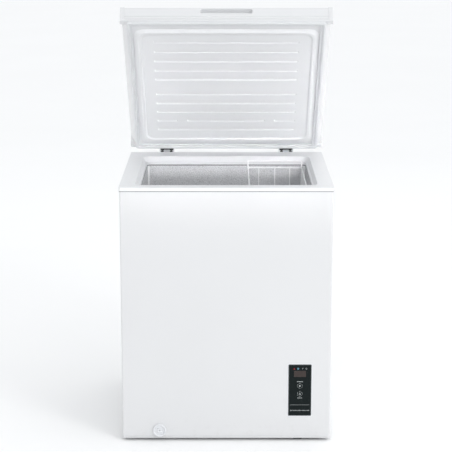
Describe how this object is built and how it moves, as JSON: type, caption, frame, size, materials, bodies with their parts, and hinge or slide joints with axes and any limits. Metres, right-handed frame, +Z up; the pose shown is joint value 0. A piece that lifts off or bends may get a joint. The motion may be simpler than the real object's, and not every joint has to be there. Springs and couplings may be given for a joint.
{
  "type": "chest freezer",
  "caption": "Compact white chest freezer with a counterbalanced lift-up lid, embossed metal tub, hanging wire basket, front control panel and front drain plug.",
  "frame": {"origin": "floor level under the middle of the whole object's box, lid propped open as stored", "axes": "+Z up, front faces -Y, +X to the right seen from the front"},
  "size_m": [0.6622, 0.6973, 1.3226],
  "materials": {
    "case_white": "satin powder coat",
    "rim_white": "satin moulded",
    "liner_aluminium": "stucco embossed",
    "foam": "closed cell foam",
    "galvanised": "galvanised",
    "tube_aluminium": "drawn",
    "tube_steel": "drawn",
    "copper": "drawn copper",
    "pipe_plastic": "plain",
    "compressor_black": "semi gloss",
    "black_plastic": "moulded",
    "rubber_black": "matt",
    "screw_steel": "zinc plated",
    "hinge_steel": "zinc plated",
    "cam_nylon": "moulded nylon",
    "gasket_grey": "soft vinyl",
    "fascia_black": "gloss",
    "window_smoke": "smoked gloss",
    "white_plastic": "satin moulded",
    "board_green": "solder mask",
    "basket_white": "vinyl dipped"
  },
  "bodies": {
    "cabinet": {"back_panel": "case_white", "base_pan": "case_white", "bracket_screws_left": "screw_steel", "bracket_screws_right": "screw_steel", "compressor": "compressor_black", "compressor_base_plate": "galvanised", "compressor_bolts": "screw_steel", "compressor_bracket": "galvanised", "compressor_cover": "galvanised", "compressor_grommets": "rubber_black", "compressor_rail": "galvanised", "condenser_tube": "tube_steel", "control_board": "board_green", "control_fascia": "fascia_black", "control_housing": "white_plastic", "cover_screws": "screw_steel", "discharge_pipe": "copper", "display_window": "window_smoke", "drain_pipe": "pipe_plastic", "evaporator_tube": "tube_aluminium", "filter_drier": "copper", "foam_insulation": "foam", "foot_front_left": "black_plastic", "foot_front_right": "black_plastic", "foot_rear_left": "black_plastic", "foot_rear_right": "black_plastic", "hinge_bracket_left": "hinge_steel", "hinge_bracket_right": "hinge_steel", "hinge_cam_left": "cam_nylon", "hinge_cam_right": "cam_nylon", "hinge_pin_left": "screw_steel", "hinge_pin_right": "screw_steel", "hinge_spring_left": "screw_steel", "hinge_spring_right": "screw_steel", "inner_liner": "liner_aluminium", "machine_room_wall": "galvanised", "mains_gland": "black_plastic", "outer_wrap": "case_white", "rail_screws": "black_plastic", "relay_cover": "black_plastic", "rim_frame": "rim_white", "side_vent_grille": "white_plastic", "suction_pipe": "copper"},
    "lid": {"hinge_buffer_left": "rubber_black", "hinge_buffer_right": "rubber_black", "hinge_leaf_left": "hinge_steel", "hinge_leaf_right": "hinge_steel", "lid_end_cap_left": "rim_white", "lid_end_cap_right": "rim_white", "lid_foam": "foam", "lid_front_trim": "rim_white", "lid_gasket": "gasket_grey", "lid_inner_liner": "rim_white", "lid_outer_skin": "case_white"},
    "wire_basket": {"wire_basket": "basket_white"},
    "drain_plug": {"drain_plug": "white_plastic"},
    "drain_stopper": {"drain_stopper": "white_plastic"},
    "key_adjust": {"key_adjust": "fascia_black"},
    "key_set": {"key_set": "fascia_black"}
  },
  "joints": [
    {"name": "lid_hinge", "type": "hinge", "parent": "cabinet", "child": "lid", "pos_m": [0, 0.292, 0.786], "axis": [-1, 0, 0], "range_deg": [-49, 38]},
    {"name": "basket_slide", "type": "slide", "parent": "cabinet", "child": "wire_basket", "axis": [-1, 0, 0], "range_m": [-0.004, 0.32]},
    {"name": "drain_plug_pull", "type": "slide", "parent": "cabinet", "child": "drain_plug", "axis": [0, -1, 0], "range_m": [0, 0.03]},
    {"name": "drain_stopper_pull", "type": "slide", "parent": "cabinet", "child": "drain_stopper", "axis": [0, 0, 1], "range_m": [0, 0.03]},
    {"name": "key_adjust_press", "type": "slide", "parent": "cabinet", "child": "key_adjust", "axis": [0, 1, 0], "range_m": [0, 0.0006], "stiffness_N_per_m": 600},
    {"name": "key_set_press", "type": "slide", "parent": "cabinet", "child": "key_set", "axis": [0, 1, 0], "range_m": [0, 0.0006], "stiffness_N_per_m": 600}
  ]
}
